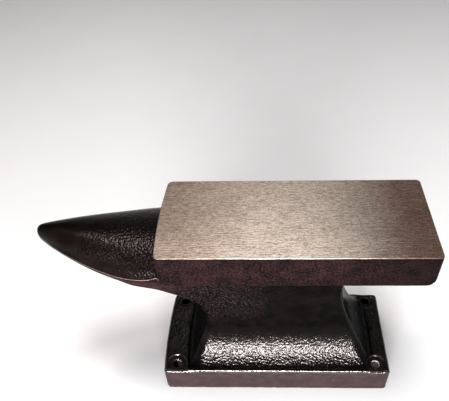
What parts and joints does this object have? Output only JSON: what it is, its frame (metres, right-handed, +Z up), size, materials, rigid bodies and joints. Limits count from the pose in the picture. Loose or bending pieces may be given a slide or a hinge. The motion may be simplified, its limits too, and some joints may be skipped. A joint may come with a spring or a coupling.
{
  "type": "bench anvil",
  "caption": "Small bench anvil with a flat ground table, a blunt horn, a flared waist and a foot block drilled for bolts.",
  "frame": {"origin": "centre of the foot block's flat underside, midway between the four bolt holes", "axes": "+X along the table towards its heel, -X towards the horn, +Y across the anvil, +Z up out of the working face"},
  "size_m": [0.2235, 0.066, 0.13],
  "materials": {
    "enamelled_casting": "glossy black enamel over a pebbly sand casting",
    "cast_side": "thin brown-black coating over a fine cast surface",
    "ground_face": "ground flat along the table's length, slightly tarnished"
  },
  "bodies": {
    "root": {"base": "enamelled_casting", "waist": "enamelled_casting", "horn": "enamelled_casting", "table": "cast_side", "work_face": "ground_face"}
  },
  "joints": []
}
